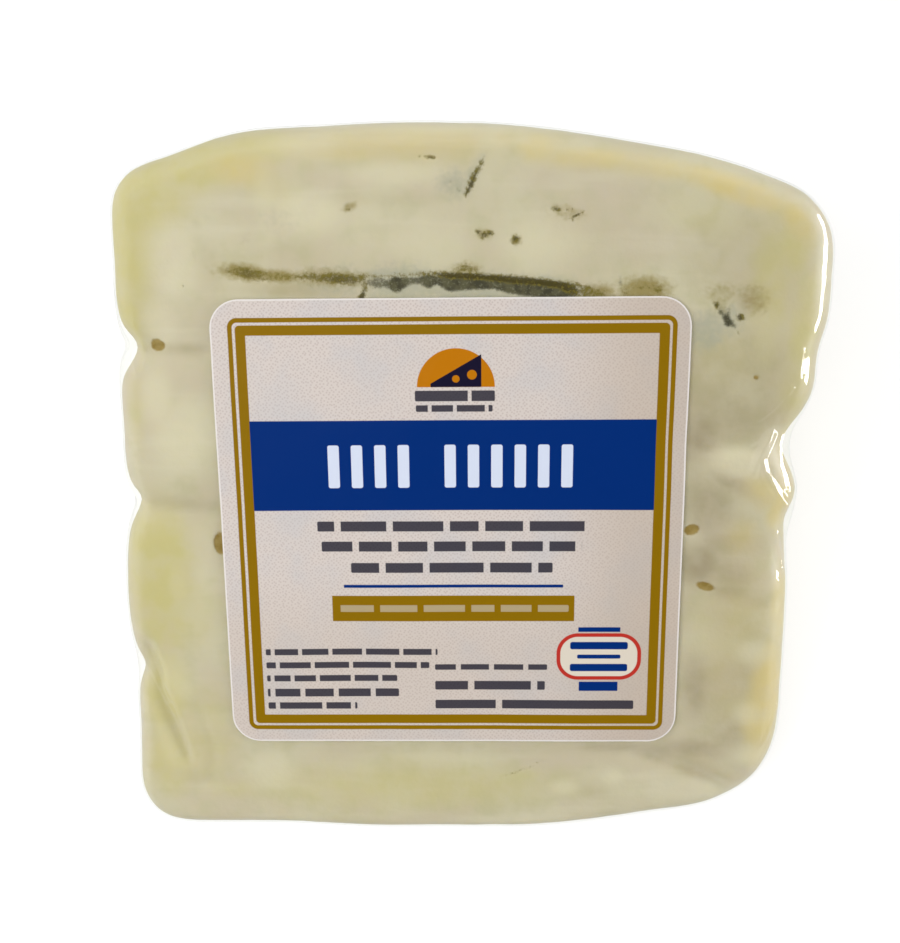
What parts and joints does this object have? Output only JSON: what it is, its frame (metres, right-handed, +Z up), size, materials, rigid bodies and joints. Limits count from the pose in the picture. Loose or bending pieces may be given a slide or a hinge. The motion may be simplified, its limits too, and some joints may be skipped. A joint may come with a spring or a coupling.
{
  "type": "vacuum-packed blue cheese wedge",
  "caption": "Wedge of blue-veined cheese in tight clear film, lying on one cut face, with a square label on the sloping upper cut face.",
  "frame": {"origin": "middle of the bounding box, on the surface that the lower cut face rests on", "axes": "+X across the wedge between the wheel's two flat faces, +Y from the tip to the rind, +Z up"},
  "size_m": [0.098, 0.1008, 0.0401],
  "materials": {
    "wrapped_cheese": "cream-coloured cheese with blue-green veins under tight, glossy clear film",
    "label_paper": "satin sticker with a fine dot tint, gold borders and a blue band",
    "clear_film": "thin clear shrink film, wet-looking gloss"
  },
  "bodies": {
    "root": {"cheese_pack": "wrapped_cheese", "label": "label_paper"}
  },
  "joints": []
}
